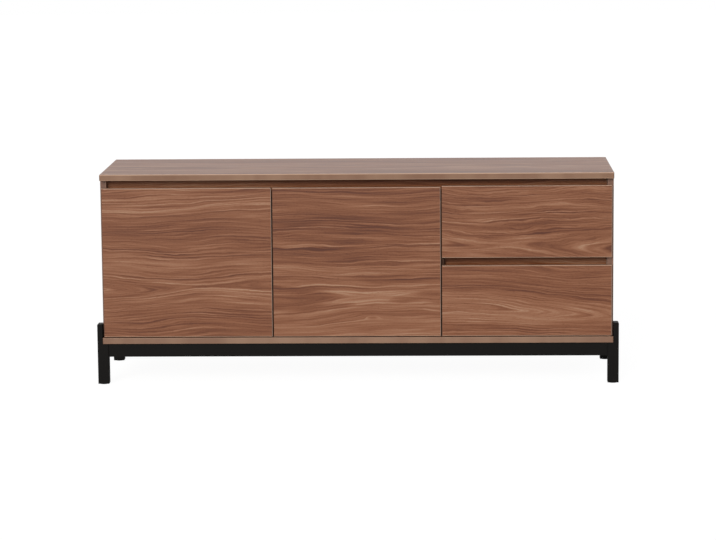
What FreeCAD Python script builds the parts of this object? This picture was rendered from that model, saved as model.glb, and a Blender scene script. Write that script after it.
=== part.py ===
import FreeCAD, Part
import Sketcher
import math
import os
import re

# A three-bay sideboard: two doors and two drawers in a foiled board carcass on a black timber base.
# Millimetres, +Z up. X runs along the front, Y from the front to the back.
# The origin is on the floor, in the middle of the width and of the depth.

Vector = FreeCAD.Vector

# Every size that can be set by itself, in millimetres
SIZES = (
    ("top_width", 1500, "length of the top and of the bottom board"),
    ("top_depth", 420, "front edge to back edge of the top"),
    ("total_height", 622, "floor to the top face"),
    ("base_height", 121, "floor to the underside of the carcass"),
    ("board", 18, "thickness of the carcass boards, doors and drawer fronts"),
    ("arris", 1.2, "rounding of the banded board edges"),
    ("overrun", 5, "how far a cut runs past the surface it opens"),
    ("fit_play", 0.2, "clearance of a piece that is slid or pushed into its seat"),
    ("side_reveal", 5, "side board showing beside a door"),
    ("front_gap", 3, "upright gap between two fronts"),
    ("front_play", 2, "space between the carcass edges and the backs of the fronts"),
    ("bottom_gap", 3, "bottom board to the lower edge of a front"),
    ("door_top_gap", 23, "finger gap over the doors"),
    ("drawer_top_gap", 20, "finger gap over the upper drawer"),
    ("drawer_gap", 23.5, "finger gap between the drawer fronts"),
    ("upper_front_extra", 2.5, "height of the upper drawer front over the lower one"),
    ("finger_depth", 18, "how far the rails stand behind the carcass edges"),
    ("top_rail_height", 60, "rail under the top"),
    ("drawer_rail_height", 48, "rail between the drawers"),
    ("back_board", 3, "thickness of the hardboard backs and drawer bottoms"),
    ("back_inset", 10, "back board to the rear edge of the carcass"),
    ("groove_depth", 6, "depth of the grooves that hold the thin boards"),
    ("shelf_drop", 17.5, "middle of the inner height to the underside of a shelf"),
    ("shelf_setback", 24, "carcass edge to the front of a shelf"),
    ("shelf_play", 1, "shelf to the boards beside and behind it"),
    ("pin_diameter", 5, "shelf pins and their holes"),
    ("pin_seat", 8, "length of a shelf pin in the board"),
    ("pin_reach", 8, "length of a shelf pin under the shelf"),
    ("row_inset", 37, "row of holes to the edge of the board"),
    ("row_pitch", 32, "spacing of the holes in a row"),
    ("cam_diameter", 15, "cam lock"),
    ("cam_depth", 12.5, "length of a cam lock"),
    ("cam_centre", 24, "cam lock to the end of its board"),
    ("cam_inset", 60, "cam lock to the front or back edge of the divider"),
    ("cam_bolt_diameter", 7, "bolt between a cam and the top or bottom board"),
    ("cam_bolt_seat", 11, "cam bolt in the top or bottom board"),
    ("leg_size", 32, "square section of a leg"),
    ("leg_cheek", 16, "part of the leg that stands beside the carcass"),
    ("post_rise", 59, "cheek above the underside of the carcass"),
    ("post_round", 3.5, "round on the upper outer corner of a leg"),
    ("leg_arris", 1.2, "rounding of the other leg edges"),
    ("leg_inset", 2, "front of the top to the front of the legs"),
    ("frame_rail_height", 39, "height of the base rails"),
    ("frame_rail_inset", 3, "face of a leg to the face of the rail beside it"),
    ("dowel_diameter", 8, "dowels of the base"),
    ("dowel_length", 30, "dowels of the base"),
    ("dowel_spacing", 18, "two dowels of one joint"),
    ("glide_height", 1.5, "plastic glide under a leg"),
    ("glide_diameter", 26, "plastic glide under a leg"),
    ("glide_stem_diameter", 6, "stem of a glide"),
    ("glide_stem_length", 14, "stem of a glide"),
    ("frame_screw_diameter", 5, "screws up through the base rails"),
    ("frame_screw_head", 10, "head of a base screw"),
    ("frame_screw_head_height", 3, "head of a base screw"),
    ("frame_screw_sink", 14, "counterbore under a base rail"),
    ("frame_screw_grip", 11, "base screw in the bottom board"),
    ("frame_screw_spread", 520, "middle base screw to the outer ones"),
    ("back_screw_diameter", 3, "screws of the back boards"),
    ("back_screw_length", 16, "screws of the back boards"),
    ("back_screw_head", 7, "head of a back board screw"),
    ("back_screw_head_height", 2, "head of a back board screw"),
    ("back_screw_inset", 45, "end screws to the inner floor and ceiling"),
    ("back_joint", 2, "gap between the two back boards"),
    ("box_length", 360, "drawer box behind its front"),
    ("box_height", 145, "drawer side"),
    ("box_board", 12, "thickness of the drawer sides and backs"),
    ("box_lift", 18, "lower edge of a drawer front to its box"),
    ("box_floor_lift", 10, "lower edge of a drawer side to its bottom groove"),
    ("box_groove", 5, "groove in a drawer side"),
    ("box_dowel_diameter", 6, "dowels of a drawer box"),
    ("box_dowel_length", 30, "dowels of a drawer box"),
    ("box_dowel_seat", 9, "shallow end of a drawer dowel, in a drawer side or front"),
    ("box_dowel_inset", 30, "drawer dowels to the bottom groove and the upper edge"),
    ("runner_length", 350, "ball runner, closed"),
    ("runner_width", 12.7, "drawer side to the carcass"),
    ("runner_height", 45, "outer channel of a runner"),
    ("runner_wall", 1.2, "steel of a runner"),
    ("runner_play", 0.5, "between two channels of a runner"),
    ("runner_inset", 3, "carcass edge to a runner"),
    ("runner_lift", 60, "lower edge of a drawer side to the middle of its runner"),
    ("hinge_inset", 95, "end of a door to a hinge"),
    ("cup_radius", 17.5, "hinge cup"),
    ("cup_depth", 12.5, "hinge cup"),
    ("cup_wall", 1, "steel of a hinge cup"),
    ("cup_edge", 3, "edge of the door to the cup"),
    ("flange_length", 52, "flange of a cup on the back of the door"),
    ("flange_width", 15, "flange of a cup on the back of the door"),
    ("flange_thickness", 1.2, "flange of a cup on the back of the door"),
    ("arm_pivot_across", 43.5, "edge of the door to the link's pivot on the arm"),
    ("arm_pivot_in", 25, "face of the door to the link's pivot on the arm"),
    ("cup_pivot_across", 11.4, "edge of the door to the link's pivot in the cup"),
    ("cup_pivot_in", 11, "face of the door to the link's pivot in the cup"),
    ("link_knee_across", 21.2, "edge of the door to the sharper bend of the link"),
    ("link_knee_in", 9, "face of the door to the sharper bend of the link"),
    ("link_bend_across", 17.2, "edge of the door to the gentler bend of the link"),
    ("link_bend_in", 9.3, "face of the door to the gentler bend of the link"),
    ("link_thickness", 2, "steel of a hinge link"),
    ("link_width", 8, "width of a hinge link"),
    ("link_pin_radius", 1.5, "pins of a hinge"),
    ("link_eye_wall", 1.1, "steel round a pin at each end of a link"),
    ("arm_length", 46, "hinge arm behind its pivot"),
    ("arm_tip_reach", 3.2, "pin of an arm to the edges of its tip"),
    ("arm_cheek", 1.5, "cheeks that hold the pin of an arm"),
    ("plate_length", 32, "mounting plate, along the depth"),
    ("plate_height", 50, "mounting plate, upright"),
    ("plate_thickness", 3, "mounting plate"),
)

# Places worked out from the sizes, each a formula over the names above and in this table
PLACES = {
    "front_y": "0 - top_depth / 2",
    "rear_y": "top_depth / 2",
    "half_width": "top_width / 2",
    "floor_z": "base_height + board",
    "ceiling_z": "total_height - board",
    "side_inner_x": "half_width - board",
    "side_y": "front_y + board + front_play",
    "bay_width": "(top_width - 4 * board) / 3",
    "divider_x": "(bay_width + board) / 2",
    "back_y": "rear_y - back_inset - back_board",
    "groove_y": "back_y - fit_play",
    "groove_end_y": "rear_y - back_inset + fit_play",
    "divider_depth": "back_y - fit_play - side_y",
    "rail_y": "side_y + finger_depth",
    "front_z": "floor_z + bottom_gap",
    "door_height": "ceiling_z - door_top_gap - front_z",
    "lower_front_height": "(ceiling_z - drawer_top_gap - front_z - drawer_gap - upper_front_extra) / 2",
    "upper_front_height": "lower_front_height + upper_front_extra",
    "upper_front_z": "front_z + lower_front_height + drawer_gap",
    "shelf_z": "(floor_z + ceiling_z) / 2 - shelf_drop",
    "pin_z": "shelf_z - pin_diameter / 2",
    "cam_front_y": "side_y + cam_inset",
    "cam_rear_y": "back_y - cam_inset",
    "cam_low_z": "floor_z + cam_centre",
    "cam_high_z": "ceiling_z - cam_centre",
    "leg_seat": "leg_size - leg_cheek",
    "leg_inner_x": "half_width - leg_seat",
    "front_leg_y": "front_y + leg_inset",
    "rear_leg_y": "rear_y - leg_inset - leg_size",
    "frame_rail_z": "base_height - frame_rail_height",
    "frame_rail_middle_z": "base_height - frame_rail_height / 2",
    "front_rail_y": "front_leg_y + frame_rail_inset",
    "rear_rail_y": "rear_y - leg_inset - frame_rail_inset - leg_seat",
    "side_rail_y": "front_leg_y + leg_size",
    "side_rail_x": "half_width - leg_seat / 2",
    "box_x": "divider_x + board / 2 + runner_width",
    "box_end_x": "side_inner_x - runner_width",
    "box_y": "front_y + board",
    "channel_step": "runner_wall + runner_play",
    "frame_screw_length": "frame_screw_head_height + frame_rail_height - frame_screw_sink + frame_screw_grip",
    "left_hinge_x": "side_reveal - half_width",
    "middle_hinge_x": "divider_x - front_gap / 2",
    "low_hinge_z": "front_z + hinge_inset",
    "high_hinge_z": "front_z + door_height - hinge_inset",
}

# Each face of a board: its sketch plane, the axis it looks along, whether it is the far
# side, the sign of the plane's normal, and the two axes of the sketch
FACES = {
    "left": ("YZ_Plane", 0, False, 1, (1, 2)),
    "right": ("YZ_Plane", 0, True, 1, (1, 2)),
    "front": ("XZ_Plane", 1, False, -1, (0, 2)),
    "rear": ("XZ_Plane", 1, True, -1, (0, 2)),
    "bottom": ("XY_Plane", 2, False, 1, (0, 1)),
    "top": ("XY_Plane", 2, True, 1, (0, 1)),
}

DIRECTIONS = {
    "+x": Vector(1, 0, 0),
    "-x": Vector(-1, 0, 0),
    "+y": Vector(0, 1, 0),
    "-y": Vector(0, -1, 0),
    "+z": Vector(0, 0, 1),
    "-z": Vector(0, 0, -1),
}

# Two edges count as being in one place when they are nearer than this share of the piece
NEAR_SHARE = 0.01

doc = FreeCAD.newDocument("Sideboard")
sheet = doc.addObject("Spreadsheet::Sheet", "Sizes")
nodes = {}
boards = {}


def fill_sheet():
    """Put every size into the sheet under its own name."""
    for row, (alias, size, note) in enumerate(SIZES, start=1):
        sheet.set(f"A{row}", alias)
        sheet.set(f"B{row}", str(size))
        sheet.set(f"C{row}", note)
        sheet.setAlias(f"B{row}", alias)
    doc.recompute()


def formula(text):
    """Spell out the place names of a formula until only cells of the sheet are left."""
    def spell(match):
        word = match.group(0)
        if word in PLACES:
            return "(" + formula(PLACES[word]) + ")"
        return "Sizes." + word
    return re.sub(r"[a-z][a-z_]*", spell, str(text))


def bind(thing, path, text):
    """Tie one property to a formula over the sheet."""
    thing.setExpression(path, formula(text))


def bind_place(thing, place):
    """Tie the three coordinates of an object to formulas."""
    for axis, text in zip("xyz", place):
        bind(thing, f"Placement.Base.{axis}", text)


def volume(body):
    """The body's volume now."""
    doc.recompute()
    return body.Shape.Volume


def sketch_on(label, face):
    """A new sketch on one face of a body, whose corner is the origin of the sketch."""
    body, corner, spans = boards[label]
    plane, axis, far, sign, _ = FACES[face]
    planes = {feature.Role: feature for feature in body.Origin.OriginFeatures}
    sketch = body.newObject("Sketcher::SketchObject", f"{label}_sketch")
    sketch.AttachmentSupport = [(planes[plane], "")]
    sketch.MapMode = "FlatFace"
    if far:
        bind(sketch, "AttachmentOffset.Base.z", spans[axis] if sign > 0 else f"0 - ({spans[axis]})")
    return sketch


def hold_point(sketch, geometry, point, across, up):
    """Fix one point of a sketch at its two distances from the origin."""
    for kind, text in (("DistanceX", across), ("DistanceY", up)):
        number = sketch.addConstraint(Sketcher.Constraint(kind, -1, 1, geometry, point, 1.0))
        bind(sketch, f"Constraints[{number}]", text)


def add_outline(sketch, corners):
    """A closed outline of straight lines through corners given as formulas."""
    count = len(corners)
    for number in range(count):
        turn = 2 * math.pi / count
        start = Vector(math.cos(number * turn), math.sin(number * turn), 0)
        end = Vector(math.cos((number + 1) * turn), math.sin((number + 1) * turn), 0)
        sketch.addGeometry(Part.LineSegment(start, end), False)
    for number in range(count):
        following = (number + 1) % count
        sketch.addConstraint(Sketcher.Constraint("Coincident", number, 2, following, 1))
    for number, (across, up) in enumerate(corners):
        hold_point(sketch, number, 1, across, up)


def rectangle(low, high):
    """The four corners of a rectangle."""
    return [(low[0], low[1]), (high[0], low[1]), (high[0], high[1]), (low[0], high[1])]


def add_body(label, corner, spans, face, corners):
    """A body padded from an outline on its left, front or bottom face."""
    body = doc.addObject("PartDesign::Body", label)
    body.Label = label
    boards[label] = (body, corner, spans)
    nodes[label] = body
    bind_place(body, corner)
    sketch = sketch_on(label, face)
    add_outline(sketch, corners)
    pad = body.newObject("PartDesign::Pad", f"{label}_pad")
    pad.Profile = sketch
    bind(pad, "Length", spans[FACES[face][1]])
    pad.Reversed = FACES[face][3] < 0
    doc.recompute()
    return pad


def add_board(label, corner, spans):
    """A plain board, from its lower left front corner and its three spans."""
    return add_body(label, corner, spans, "bottom", rectangle(("0", "0"), spans[:2]))


def round_edges(label, pad, radius, choose=None):
    """Round all edges of a pad, or those that the choice names."""
    body = boards[label][0]
    fillet = body.newObject("PartDesign::Fillet", f"{label}_round")
    if choose is None:
        fillet.Base = (pad, [])
        fillet.UseAllEdges = True
    else:
        box = pad.Shape.BoundBox
        edges = enumerate(pad.Shape.Edges, start=1)
        fillet.Base = (pad, [f"Edge{number}" for number, edge in edges if choose(edge.BoundBox, box)])
    bind(fillet, "Radius", radius)
    body.Tip = fillet
    doc.recompute()
    return fillet


def banded(label, corner, spans):
    """A board with edge bands, whose edges are all softened."""
    pad = add_board(label, corner, spans)
    return round_edges(label, pad, "arris")


def pocket(label, face, sketch, depth):
    """Cut a finished sketch into a face, and make sure that it took material away."""
    body = boards[label][0]
    before = volume(body)
    _, _, far, sign, _ = FACES[face]
    cut = body.newObject("PartDesign::Pocket", f"{label}_cut")
    cut.Profile = sketch
    cut.Reversed = far != (sign > 0)
    bind(cut, "Length", depth)
    if not volume(body) < before:
        raise ValueError(f"a cut in {label} took nothing away")


def local(label, face, place):
    """The two sketch coordinates of a place on a face of a board."""
    corner = boards[label][1]
    return [f"({place[axis]}) - ({corner[axis]})" for axis in FACES[face][4]]


def drill(label, face, spots, diameter, depth):
    """Round holes in one face, each at a place of the whole model."""
    sketch = sketch_on(label, face)
    for number, spot in enumerate(spots):
        sketch.addGeometry(Part.Circle(Vector(number, 0, 0), Vector(0, 0, 1), 1), False)
        hold_point(sketch, number, 3, *local(label, face, spot))
        size = sketch.addConstraint(Sketcher.Constraint("Diameter", number, 1.0))
        bind(sketch, f"Constraints[{size}]", diameter)
    pocket(label, face, sketch, depth)


def mill(label, face, low, high, depth):
    """A rectangular cut in one face, between two places of the whole model."""
    sketch = sketch_on(label, face)
    add_outline(sketch, rectangle(local(label, face, low), local(label, face, high)))
    pocket(label, face, sketch, depth)


def rod(place, direction, diameter, length):
    """A plain round pin from a place, along a direction."""
    cylinder = doc.addObject("Part::Cylinder", "rod")
    cylinder.Placement = FreeCAD.Placement(
        Vector(), FreeCAD.Rotation(Vector(0, 0, 1), DIRECTIONS[direction]))
    bind(cylinder, "Radius", f"({diameter}) / 2")
    bind(cylinder, "Height", length)
    bind_place(cylinder, place)
    return cylinder


def joined(pieces):
    """Several primitives that are one solid piece."""
    fuse = doc.addObject("Part::MultiFuse", "joined")
    fuse.Shapes = pieces
    return fuse


def group(label, pieces):
    """Like pieces that share one node, each still a solid of its own."""
    compound = doc.addObject("Part::Compound", label)
    compound.Label = label
    compound.Links = pieces
    nodes[label] = compound


def screw(place, direction, kind):
    """A screw from the top of its head; kind begins the names of its sizes."""
    head = rod(place, direction, f"{kind}_head", f"{kind}_head_height")
    shank = rod(place, direction, f"{kind}_diameter", f"{kind}_length")
    return joined([head, shank])


def mirrored(text, hand):
    """A formula as it is on the right, or turned over to the left."""
    return text if hand > 0 else f"0 - ({text})"


def back_groove(label, face, low_x, high_x, low_z, high_z):
    """The groove that holds the back boards, open over the stated stretch."""
    low = (low_x, "groove_y", low_z)
    high = (high_x, "groove_end_y", high_z)
    mill(label, face, low, high, "groove_depth")


def shelf_rows(low_x):
    """Both rows of shelf holes on one face, five holes to a row, the middle one in use."""
    spots = []
    for row_y in ("side_y + row_inset", "back_y - row_inset"):
        for step in range(-2, 3):
            spots.append((low_x, row_y, f"pin_z + {step} * row_pitch"))
    return spots


def cam_spots(face_x):
    """The cams on one board."""
    return [(face_x, y, z) for y in ("cam_front_y", "cam_rear_y") for z in ("cam_low_z", "cam_high_z")]


UPRIGHTS = {
    "left_side_panel": ("board / 2 - half_width", "right"),
    "left_divider": ("0 - divider_x", "left"),
    "right_divider": ("divider_x", "left"),
    "right_side_panel": ("half_width - board / 2", "left"),
}


def make_top_and_bottom():
    """The two full-length boards, grooved for the back and bored for the cam bolts."""
    spans = ("top_width", "top_depth", "board")
    banded("top_panel", ("0 - half_width", "front_y", "ceiling_z"), spans)
    banded("bottom_panel", ("0 - half_width", "front_y", "base_height"), spans)
    for label, face in (("top_panel", "bottom"), ("bottom_panel", "top")):
        end_x = "side_inner_x + groove_depth"
        back_groove(label, face, f"0 - ({end_x})", end_x, "0", "0")
        spots = [(x, y, "0") for x, _ in UPRIGHTS.values() for y in ("cam_front_y", "cam_rear_y")]
        drill(label, face, spots, "cam_bolt_diameter + fit_play", "cam_bolt_seat + fit_play")
    drill("bottom_panel", "bottom", frame_screw_spots(), "frame_screw_diameter + fit_play",
          "frame_screw_grip + fit_play")


def make_uprights():
    """Two sides and two dividers, with cams, grooves, shelf holes and the rail's notch."""
    def front_corners(edge, box):
        return edge.YMax < box.Center.y and edge.ZLength > edge.XLength + edge.YLength

    for label, (middle_x, cam_face) in UPRIGHTS.items():
        divider = label.endswith("divider")
        corner = (f"{middle_x} - board / 2", "side_y", "floor_z")
        depth = "divider_depth" if divider else "rear_y - side_y"
        pad = add_board(label, corner, ("board", depth, "ceiling_z - floor_z"))
        round_edges(label, pad, "arris", front_corners)
        drill(label, cam_face, cam_spots("0"), "cam_diameter + fit_play", "cam_depth + fit_play")
        for end in ("bottom", "top"):
            spots = [(middle_x, y, "0") for y in ("cam_front_y", "cam_rear_y")]
            drill(label, end, spots, "cam_bolt_diameter + fit_play", "cam_centre")
        if divider:
            low = ("0", "side_y - overrun", "ceiling_z - top_rail_height - fit_play")
            high = ("0", "rail_y + board + fit_play", "ceiling_z + overrun")
            mill(label, "left", low, high, "board + overrun")
            drill(label, "rear", back_screw_spots(label), "back_screw_diameter + fit_play",
                  "back_screw_length - back_board - back_screw_head_height")
        else:
            back_groove(label, cam_face, "0", "0", "floor_z - overrun", "ceiling_z + overrun")
    for label, face in (("left_side_panel", "right"), ("left_divider", "left"),
                        ("left_divider", "right"), ("right_divider", "left")):
        drill(label, face, shelf_rows("0"), "pin_diameter", "pin_seat + fit_play")


def make_cams():
    """The cam locks in the uprights, and their bolts in the top and bottom boards."""
    locks = []
    bolts = []
    length = "cam_bolt_seat + cam_centre - cam_diameter / 2 - fit_play"
    for middle_x, face in UPRIGHTS.values():
        inward = "-x" if face == "right" else "+x"
        face_x = f"{middle_x} + board / 2" if face == "right" else f"{middle_x} - board / 2"
        for spot in cam_spots(face_x):
            locks.append(rod(spot, inward, "cam_diameter - fit_play", "cam_depth"))
        for y in ("cam_front_y", "cam_rear_y"):
            low = (middle_x, y, "floor_z - cam_bolt_seat")
            high = (middle_x, y, "ceiling_z + cam_bolt_seat")
            bolts.append(rod(low, "+z", "cam_bolt_diameter", length))
            bolts.append(rod(high, "-z", "cam_bolt_diameter", length))
    group("cam_locks", locks)
    group("cam_bolts", bolts)


def make_front_rails():
    """The long rail under the top, and the short one between the two drawers."""
    add_board("top_front_rail", ("0 - side_inner_x", "rail_y", "ceiling_z - top_rail_height"),
              ("2 * side_inner_x", "board", "top_rail_height"))
    middle_z = "upper_front_z - drawer_gap / 2 - drawer_rail_height / 2"
    add_board("drawer_rail", ("divider_x + board / 2", "rail_y", middle_z),
              ("bay_width", "board", "drawer_rail_height"))


def back_screw_spots(label):
    """Three screws in each column of back screws on a divider, with a column for each board met there."""
    if label == "left_divider":
        columns = ("0 - divider_x",)
    else:
        columns = ("divider_x - board / 4", "divider_x + board / 4")
    heights = ("floor_z + back_screw_inset", "(floor_z + ceiling_z) / 2", "ceiling_z - back_screw_inset")
    return [(x, "back_y + back_board + back_screw_head_height", z) for x in columns for z in heights]


def make_backs():
    """Two thin back boards in the grooves, met and screwed on the right divider."""
    low_z = "floor_z - groove_depth + fit_play"
    height = "ceiling_z - floor_z + 2 * (groove_depth - fit_play)"
    edge_x = "side_inner_x + groove_depth - fit_play"
    add_board("left_back_panel", (f"0 - ({edge_x})", "back_y", low_z),
              (f"divider_x - back_joint / 2 + {edge_x}", "back_board", height))
    add_board("right_back_panel", ("divider_x + back_joint / 2", "back_y", low_z),
              (f"{edge_x} - divider_x - back_joint / 2", "back_board", height))
    shared = back_screw_spots("right_divider")
    column = len(shared) // 2
    spots = {
        "left_back_panel": back_screw_spots("left_divider") + shared[:column],
        "right_back_panel": shared[column:],
    }
    screws = []
    for label, places in spots.items():
        drill(label, "rear", places, "back_screw_diameter + fit_play", "back_board + overrun")
        screws += [screw(place, "-y", "back_screw") for place in places]
    group("back_screws", screws)


def make_shelves():
    """One loose shelf in each door bay, on four pins."""
    pins = []
    bays = (("left_shelf", "0 - side_inner_x", "0 - divider_x - board / 2"),
            ("middle_shelf", "board / 2 - divider_x", "divider_x - board / 2"))
    for label, low_x, high_x in bays:
        front = "side_y + shelf_setback"
        pad = add_board(label, (f"{low_x} + shelf_play", front, "shelf_z"),
                        ("bay_width - 2 * shelf_play", f"back_y - shelf_play - ({front})", "board"))
        round_edges(label, pad, "arris")
        for y in ("side_y + row_inset", "back_y - row_inset"):
            length = "pin_seat + pin_reach"
            pins.append(rod((f"{low_x} - pin_seat", y, "pin_z"), "+x", "pin_diameter - fit_play", length))
            pins.append(rod((f"{high_x} + pin_seat", y, "pin_z"), "-x", "pin_diameter - fit_play", length))
    group("shelf_pins", pins)


def leg_outline(hand):
    """The front view of a leg: a square post, cut away inside where the carcass sits."""
    seat_z = "base_height - glide_height"
    corners = [("0", "0"), ("leg_size", "0"), ("leg_size", f"{seat_z} + post_rise"),
               ("leg_seat", f"{seat_z} + post_rise"), ("leg_seat", seat_z), ("0", seat_z)]
    if hand > 0:
        return corners
    return [(f"leg_size - ({across})", up) for across, up in corners]


def glue_line(label, place_y, hand):
    """Part a finished leg into its two glued battens, a post under the carcass and a cheek beside it."""
    leg = nodes[label]
    under = doc.addObject("Part::Box", "under_the_carcass")
    bind(under, "Length", "leg_seat + overrun")
    bind(under, "Width", "leg_size + 2 * overrun")
    bind(under, "Height", "base_height + post_rise + overrun")
    corner_x = "leg_inner_x - overrun" if hand > 0 else "0 - half_width"
    bind_place(under, (corner_x, f"{place_y} - overrun", "0"))
    battens = []
    for kind in ("Part::Common", "Part::Cut"):
        batten = doc.addObject(kind, f"{label}_batten")
        batten.Base = leg
        batten.Tool = under
        battens.append(batten)
    group(label, battens)


def make_legs():
    """Four notched legs with a rounded cheek top, each glued up from two battens, on plastic glides."""
    glides = []
    for side, hand in (("left", -1), ("right", 1)):
        def outer_top(edge, box):
            outer = box.XMax if hand > 0 else box.XMin
            return abs(edge.Center.x - outer) + abs(edge.ZMin - box.ZMax) < NEAR_SHARE * box.XLength

        def across_leg(edge, box):
            return edge.YLength < NEAR_SHARE * box.YLength

        for end, place_y in (("front", "front_leg_y"), ("rear", "rear_leg_y")):
            label = f"{end}_{side}_leg"
            corner_x = "leg_inner_x" if hand > 0 else "0 - leg_inner_x - leg_size"
            height = "base_height + post_rise - glide_height"
            pad = add_body(label, (corner_x, place_y, "glide_height"),
                           ("leg_size", "leg_size", height), "front", leg_outline(hand))
            rounded = round_edges(label, pad, "post_round", outer_top)
            round_edges(label, rounded, "leg_arris", across_leg)
            middle_x = mirrored("leg_inner_x + leg_size / 2", hand)
            middle_y = f"{place_y} + leg_size / 2"
            drill(label, "bottom", [(middle_x, middle_y, "0")], "glide_stem_diameter + fit_play",
                  "glide_stem_length + fit_play")
            glue_line(label, place_y, hand)
            foot = (middle_x, middle_y, "0")
            disc = rod(foot, "+z", "glide_diameter", "glide_height")
            stem = rod(foot, "+z", "glide_stem_diameter", "glide_height + glide_stem_length")
            glides.append(joined([disc, stem]))
    group("foot_glides", glides)


def dowel_heights():
    """The two dowels of a joint, one over the other."""
    return ("frame_rail_middle_z - dowel_spacing / 2", "frame_rail_middle_z + dowel_spacing / 2")


def frame_screw_spots():
    """Three screws in the front rail and three in the rear rail."""
    rows = ("front_rail_y + leg_seat / 2", "rear_rail_y + leg_seat / 2")
    return [(f"{step} * frame_screw_spread", y, "frame_rail_z + frame_screw_sink - frame_screw_head_height")
            for y in rows for step in (-1, 0, 1)]


def make_frame():
    """Four rails dowelled between the legs, with the dowels and the screws into the carcass."""
    bore = "dowel_diameter + fit_play"
    depth = "dowel_length / 2 + fit_play"
    dowels = []
    long_rails = (("front_base_rail", "front", "front_rail_y"), ("rear_base_rail", "rear", "rear_rail_y"))
    for label, end, place_y in long_rails:
        add_board(label, ("0 - leg_inner_x", place_y, "frame_rail_z"),
                  ("2 * leg_inner_x", "leg_seat", "frame_rail_height"))
        spots = [("0", f"{place_y} + leg_seat / 2", z) for z in dowel_heights()]
        for side, hand, rail_face, leg_face in (("left", -1, "left", "right"), ("right", 1, "right", "left")):
            drill(label, rail_face, spots, bore, depth)
            drill(f"{end}_{side}_leg", leg_face, spots, bore, depth)
            start = mirrored("leg_inner_x - dowel_length / 2", hand)
            outward = "+x" if hand > 0 else "-x"
            dowels += [rod((start, y, z), outward, "dowel_diameter", "dowel_length") for _, y, z in spots]
        screws = [spot for spot in frame_screw_spots() if spot[1].startswith(place_y)]
        drill(label, "bottom", screws, "frame_screw_head + fit_play", "frame_screw_sink")
        drill(label, "bottom", screws, "frame_screw_diameter + fit_play", "frame_rail_height + overrun")
    for side, hand in (("left", -1), ("right", 1)):
        label = f"{side}_base_rail"
        corner_x = "half_width - leg_seat" if hand > 0 else "0 - half_width"
        add_board(label, (corner_x, "side_rail_y", "frame_rail_z"),
                  ("leg_seat", "rear_leg_y - side_rail_y", "frame_rail_height"))
        spots = [(mirrored("side_rail_x", hand), "0", z) for z in dowel_heights()]
        ends = (("front", "front", "rear", "side_rail_y - dowel_length / 2"),
                ("rear", "rear", "front", "rear_leg_y - dowel_length / 2"))
        for end, rail_face, leg_face, start in ends:
            drill(label, rail_face, spots, bore, depth)
            drill(f"{end}_{side}_leg", leg_face, spots, bore, depth)
            dowels += [rod((x, start, z), "+y", "dowel_diameter", "dowel_length") for x, _, z in spots]
    group("base_dowels", dowels)
    group("base_screws", [screw(spot, "+z", "frame_screw") for spot in frame_screw_spots()])


def hinge_spots(door):
    """The middles of the two hinges of a door, on its hinge edge and its face."""
    edge_x = "left_hinge_x" if door == "left_door" else "middle_hinge_x"
    return [(edge_x, "front_y", z) for z in ("low_hinge_z", "high_hinge_z")]


def make_doors():
    """Two overlay doors, bored at the back for their hinge cups."""
    height = "door_height"
    banded("left_door", ("side_reveal - half_width", "front_y", "front_z"),
           ("half_width - side_reveal - divider_x - front_gap / 2", "board", height))
    banded("middle_door", ("front_gap / 2 - divider_x", "front_y", "front_z"),
           ("2 * divider_x - front_gap", "board", height))
    across = "cup_edge + cup_radius"
    for door, hand in (("left_door", 1), ("middle_door", -1)):
        spots = [(f"{x} + {hand} * ({across})", y, z) for x, y, z in hinge_spots(door)]
        drill(door, "rear", spots, "2 * cup_radius + fit_play", "cup_depth + fit_play / 2")


def block(low, high):
    """A box between two corners, given in either order."""
    spans = [abs(b - a) for a, b in zip(low, high)]
    return Part.makeBox(*spans, Vector(*[min(a, b) for a, b in zip(low, high)]))


def pin_through(x, y, radius, half):
    """An upright round pin, centred on the middle of the hinge."""
    return Part.makeCylinder(radius, 2 * half, Vector(x, y, -half))


def hinge_cup(hand):
    """A pressed cup with its flange and the pin that holds the link."""
    s = sheet
    middle = hand * (s.cup_edge + s.cup_radius)
    start = Vector(middle, s.board - s.cup_depth, 0)
    cup = Part.makeCylinder(s.cup_radius, s.cup_depth, start, Vector(0, 1, 0))
    low = (middle - hand * s.flange_width / 3, s.board, -s.flange_length / 2)
    high = (middle + hand * s.flange_width * 2 / 3, s.board + s.flange_thickness, s.flange_length / 2)
    cup = cup.fuse(block(low, high))
    inner = s.cup_radius - s.cup_wall
    floor = start + Vector(0, s.cup_wall, 0)
    cup = cup.cut(Part.makeCylinder(inner, s.cup_depth + s.overrun, floor, Vector(0, 1, 0)))
    reach = s.cup_edge + s.cup_radius - s.cup_pivot_across + s.link_pin_radius
    half = math.sqrt((inner + s.cup_wall / 2) ** 2 - reach ** 2)
    pin = pin_through(hand * s.cup_pivot_across, s.cup_pivot_in, s.link_pin_radius, half)
    return cup.fuse(pin).removeSplitter()


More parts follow.
